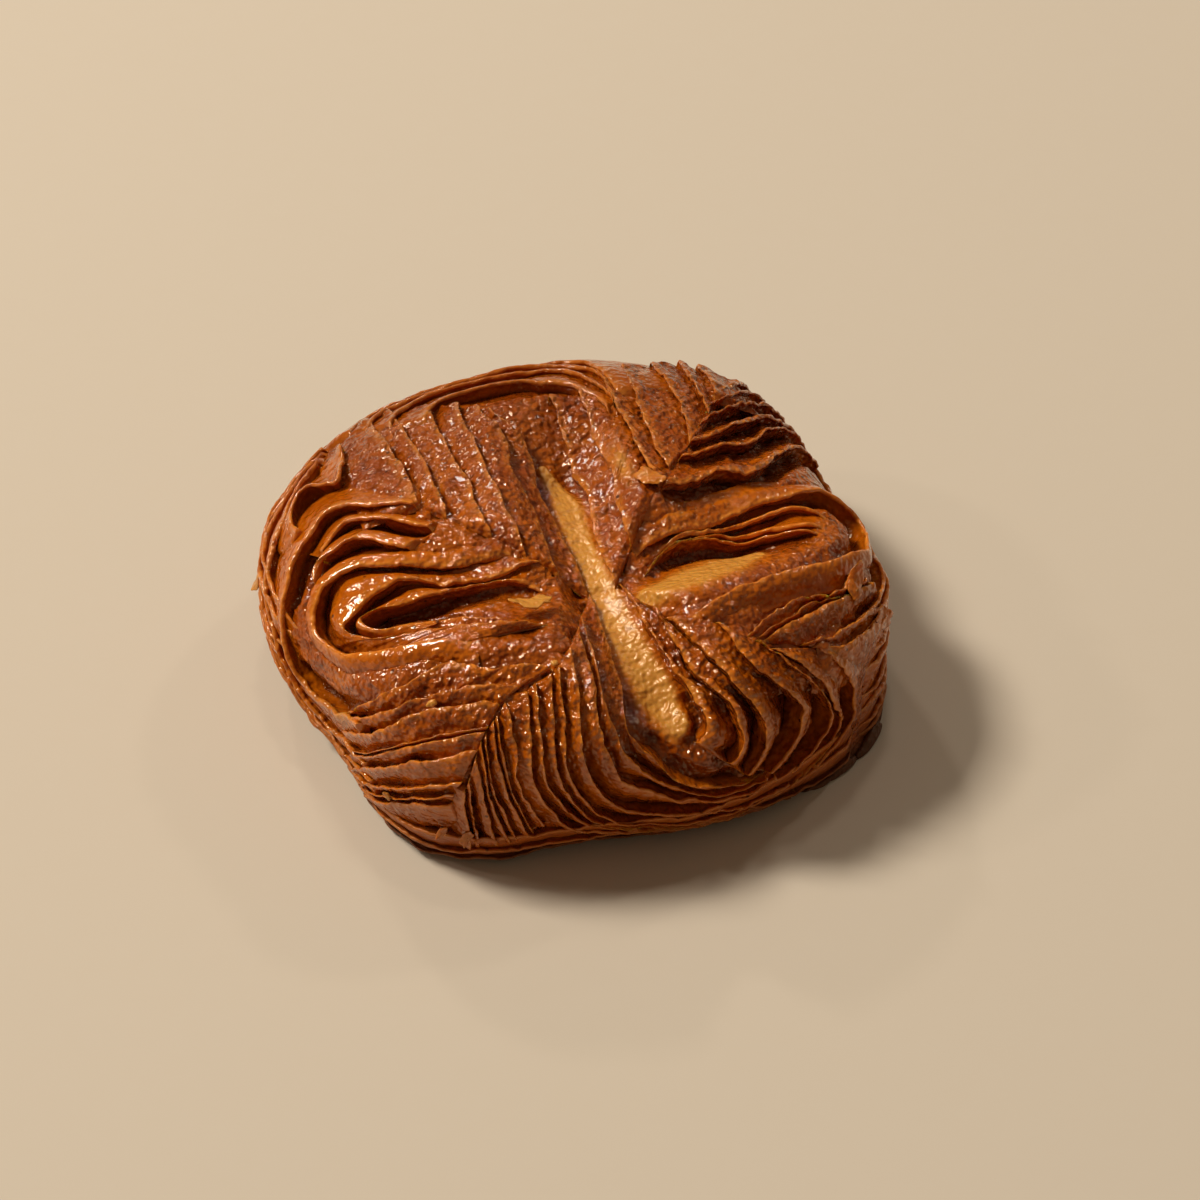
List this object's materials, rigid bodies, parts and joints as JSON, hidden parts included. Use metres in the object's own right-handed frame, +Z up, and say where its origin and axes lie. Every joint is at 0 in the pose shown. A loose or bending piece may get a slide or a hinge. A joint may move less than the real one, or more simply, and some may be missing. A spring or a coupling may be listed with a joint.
{
  "type": "kouign amann",
  "caption": "Kouign amann: a square, caramelised pastry of laminated dough, corners folded in to a cross.",
  "frame": {"origin": "on the flat base, under the middle of the pastry's box", "axes": "+Z up out of the top; the long arm of the valley between the folded corners runs along Y, its deep front end at -Y; +X to the right of it"},
  "size_m": [0.0888, 0.083, 0.0341],
  "materials": {
    "caramel_crust": "browned dough under a thin glossy sugar glaze"
  },
  "bodies": {
    "root": {"pastry": "caramel_crust"}
  },
  "joints": []
}
